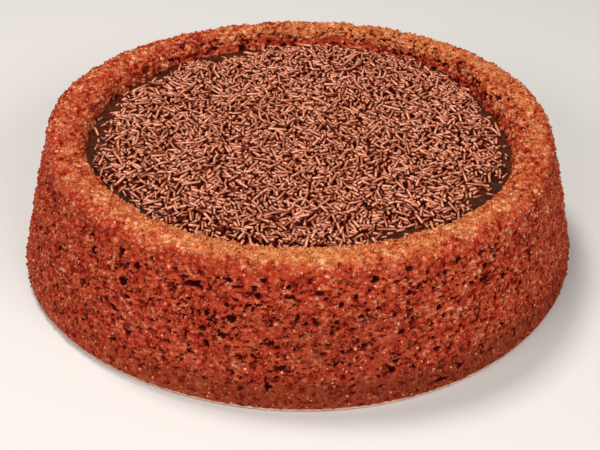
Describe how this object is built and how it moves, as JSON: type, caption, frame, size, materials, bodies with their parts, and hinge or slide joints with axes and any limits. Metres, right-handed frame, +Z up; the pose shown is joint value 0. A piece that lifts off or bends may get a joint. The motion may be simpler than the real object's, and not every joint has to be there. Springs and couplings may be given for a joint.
{
  "type": "brigadeiro cake",
  "caption": "Round chocolate sponge with a raised rim round a shallow pool, filled with chocolate fudge and covered in chocolate sprinkles.",
  "frame": {"origin": "middle of the flat base", "axes": "+Z up through the cake's middle, the front of the picture's view towards -Y, +X to its right"},
  "size_m": [0.2406, 0.2408, 0.0613],
  "materials": {
    "sponge_crust": "matt, crumbly reddish-brown crust with open pores, tan along the rim",
    "fudge": "glossy, soft dark chocolate fudge",
    "sprinkles": "satin milk chocolate rods with soft pinkish highlights"
  },
  "bodies": {
    "root": {"sponge": "sponge_crust", "fudge_filling": "fudge"}
  },
  "joints": []
}
